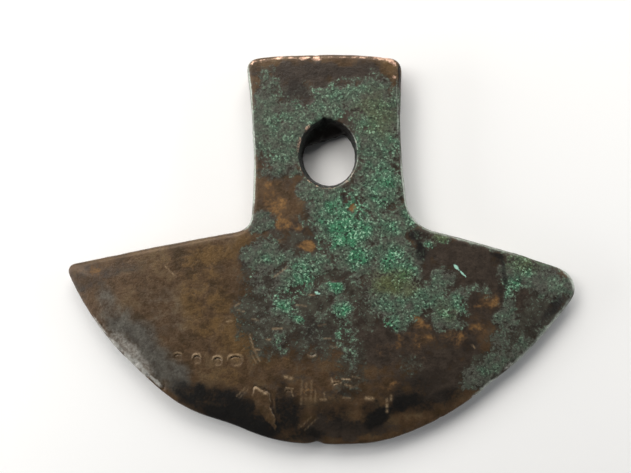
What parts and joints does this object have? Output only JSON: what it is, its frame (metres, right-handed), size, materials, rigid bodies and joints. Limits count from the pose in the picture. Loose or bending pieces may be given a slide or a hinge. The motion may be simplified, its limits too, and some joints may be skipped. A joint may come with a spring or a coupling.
{
  "type": "crescent axe head",
  "caption": "Flat cast copper-alloy axe head: a waisted tang with an oval lashing hole spreads into a crescent blade with a bevelled convex cutting edge. It lies on its flat back.",
  "frame": {"origin": "on the flat back face, under the middle of the head's own width and length", "axes": "+X across the blade towards its right tip, +Y along the tang away from the cutting edge, +Z out of the front face"},
  "size_m": [0.1502, 0.1148, 0.009],
  "materials": {
    "patinated_copper_alloy": "dark brown and green patina, satin"
  },
  "bodies": {
    "root": {"axe_head": "patinated_copper_alloy"}
  },
  "joints": []
}
